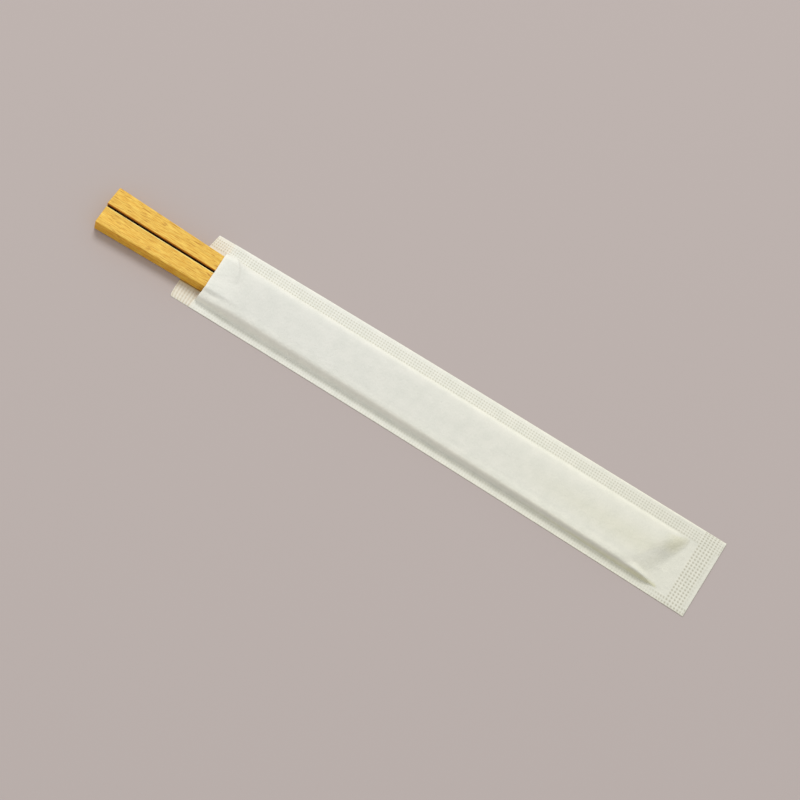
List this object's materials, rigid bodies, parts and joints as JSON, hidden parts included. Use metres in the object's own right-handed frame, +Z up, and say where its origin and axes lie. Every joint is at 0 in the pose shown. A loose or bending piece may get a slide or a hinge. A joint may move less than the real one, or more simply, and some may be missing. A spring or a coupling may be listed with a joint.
{
  "type": "wrapped chopsticks",
  "caption": "Loose tapered wooden chopsticks in a crimped paper sleeve that is torn open at the head end.",
  "frame": {"origin": "under the middle of the whole thing, on the underside of the sleeve's back web", "axes": "+X from the heads of the sticks to the sealed end, +Y to the far edge of the sleeve, +Z up out of the front web"},
  "size_m": [0.2296, 0.0302, 0.0057],
  "materials": {
    "wood": "planed, unvarnished, straight fine grain",
    "paper": "thin matt off-white sleeve paper with knurled crimp seals"
  },
  "bodies": {
    "root": {"far_chopstick": "wood", "near_chopstick": "wood", "sleeve_front": "paper", "sleeve_back": "paper"}
  },
  "joints": []
}
